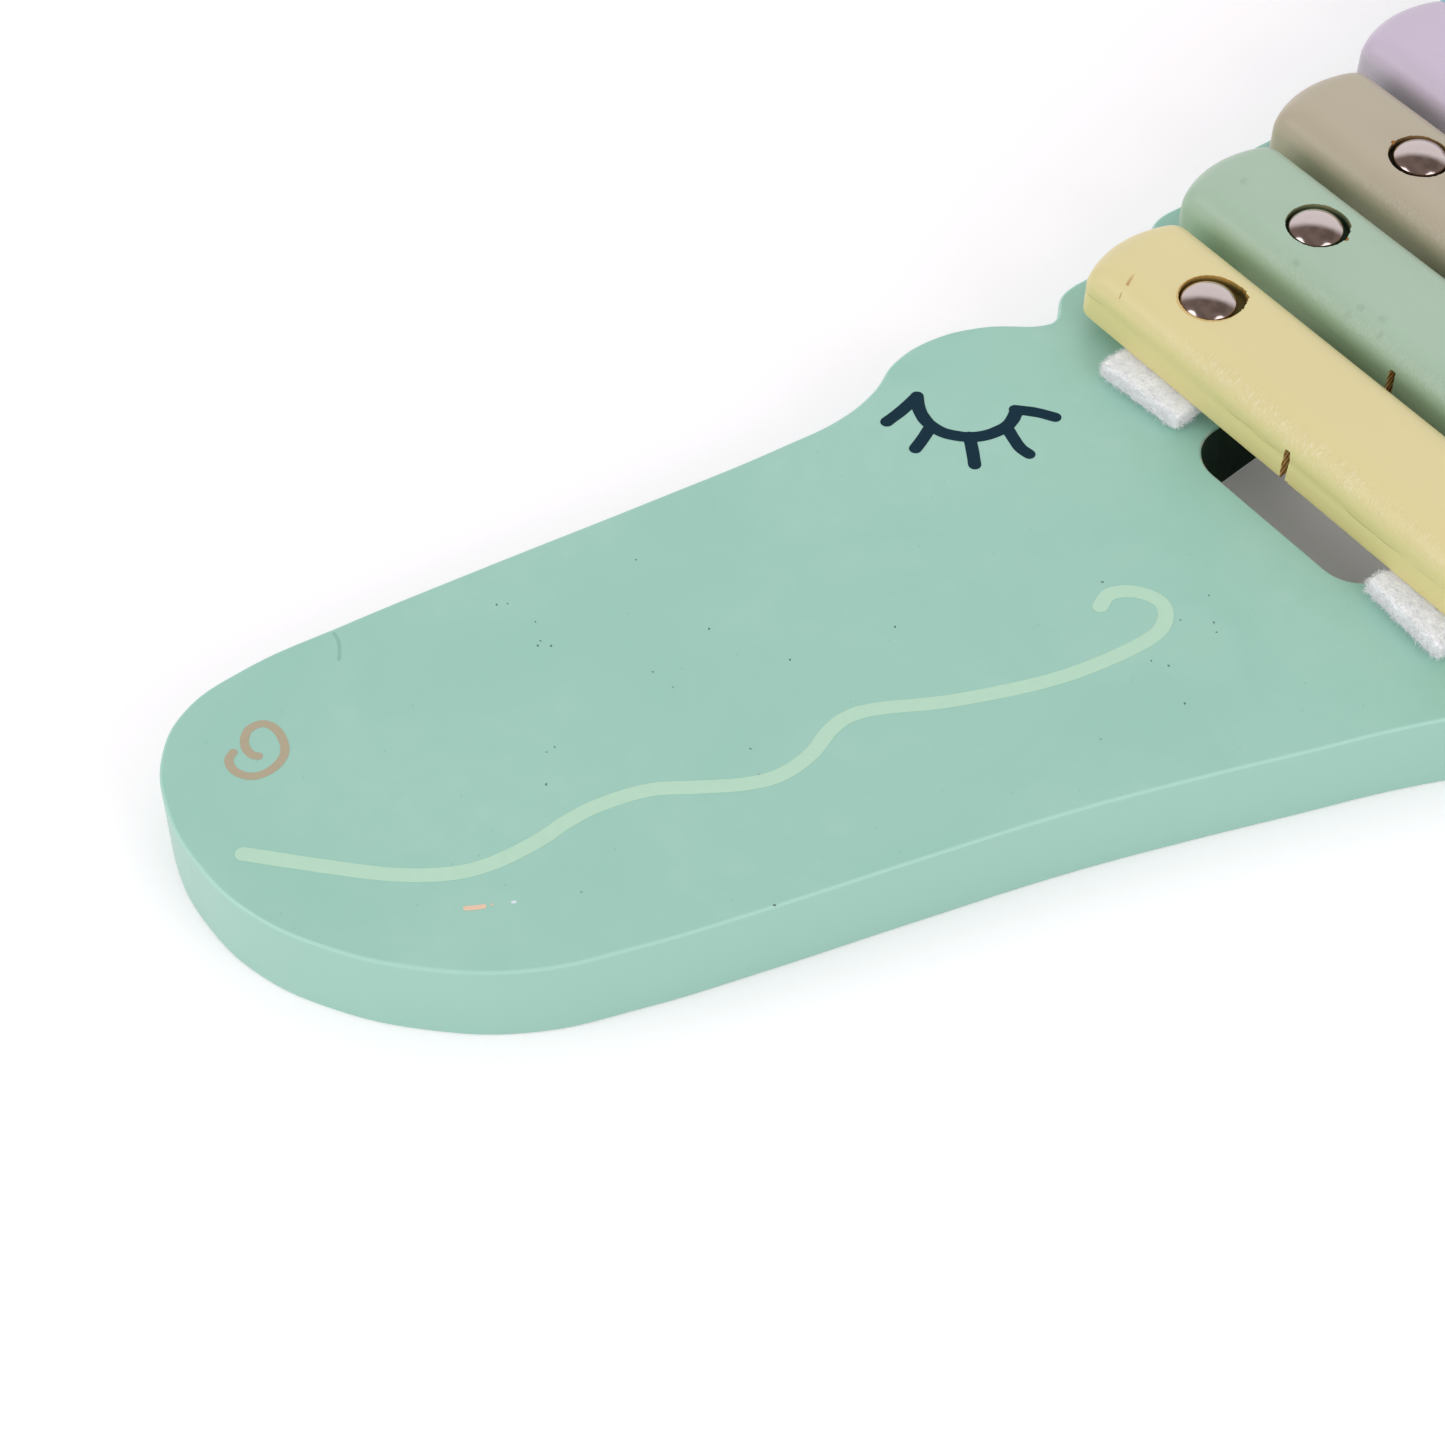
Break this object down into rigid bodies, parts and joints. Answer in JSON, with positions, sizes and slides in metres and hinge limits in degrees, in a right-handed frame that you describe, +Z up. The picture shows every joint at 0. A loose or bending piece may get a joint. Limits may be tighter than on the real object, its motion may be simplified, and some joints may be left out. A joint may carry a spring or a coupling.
{
  "type": "toy xylophone",
  "caption": "Wooden toy xylophone: painted bars nailed loosely over two felt strips, above a long opening in a flat board cut out as a crocodile",
  "frame": {"origin": "middle of the whole footprint, on the board's flat underside", "axes": "+X along the board from the snout to the tail, +Y towards the crocodile's back, +Z up out of the bars' striking faces"},
  "size_m": [0.4788, 0.1838, 0.0302],
  "materials": {
    "board_paint": "matt sea-green paint",
    "felt": "pressed white felt",
    "nickel": "polished nickel plate",
    "yellow_paint": "satin paint",
    "sage_paint": "satin paint",
    "taupe_paint": "satin paint",
    "lilac_paint": "satin paint",
    "sky_paint": "satin paint",
    "rose_paint": "satin paint",
    "apricot_paint": "satin paint",
    "mint_paint": "satin paint"
  },
  "bodies": {
    "board": {"crocodile_board": "board_paint", "felt_strip_back": "felt", "felt_strip_front": "felt", "nail_yellow_back": "nickel", "nail_yellow_front": "nickel", "nail_sage_back": "nickel", "nail_sage_front": "nickel", "nail_taupe_back": "nickel", "nail_taupe_front": "nickel", "nail_lilac_back": "nickel", "nail_lilac_front": "nickel", "nail_sky_back": "nickel", "nail_sky_front": "nickel", "nail_rose_back": "nickel", "nail_rose_front": "nickel", "nail_apricot_back": "nickel", "nail_apricot_front": "nickel", "nail_mint_back": "nickel", "nail_mint_front": "nickel"},
    "yellow_bar": {"bar_yellow": "yellow_paint"},
    "sage_bar": {"bar_sage": "sage_paint"},
    "taupe_bar": {"bar_taupe": "taupe_paint"},
    "lilac_bar": {"bar_lilac": "lilac_paint"},
    "sky_bar": {"bar_sky": "sky_paint"},
    "rose_bar": {"bar_rose": "rose_paint"},
    "apricot_bar": {"bar_apricot": "apricot_paint"},
    "mint_bar": {"bar_mint": "mint_paint"}
  },
  "joints": [
    {"name": "yellow_bar_play", "type": "slide", "parent": "board", "child": "yellow_bar", "axis": [0, 0, 1], "range_m": [0, 0.0008]},
    {"name": "sage_bar_play", "type": "slide", "parent": "board", "child": "sage_bar", "axis": [0, 0, 1], "range_m": [0, 0.0008]},
    {"name": "taupe_bar_play", "type": "slide", "parent": "board", "child": "taupe_bar", "axis": [0, 0, 1], "range_m": [0, 0.0008]},
    {"name": "lilac_bar_play", "type": "slide", "parent": "board", "child": "lilac_bar", "axis": [0, 0, 1], "range_m": [0, 0.0008]},
    {"name": "sky_bar_play", "type": "slide", "parent": "board", "child": "sky_bar", "axis": [0, 0, 1], "range_m": [0, 0.0008]},
    {"name": "rose_bar_play", "type": "slide", "parent": "board", "child": "rose_bar", "axis": [0, 0, 1], "range_m": [0, 0.0008]},
    {"name": "apricot_bar_play", "type": "slide", "parent": "board", "child": "apricot_bar", "axis": [0, 0, 1], "range_m": [0, 0.0008]},
    {"name": "mint_bar_play", "type": "slide", "parent": "board", "child": "mint_bar", "axis": [0, 0, 1], "range_m": [0, 0.0008]}
  ]
}
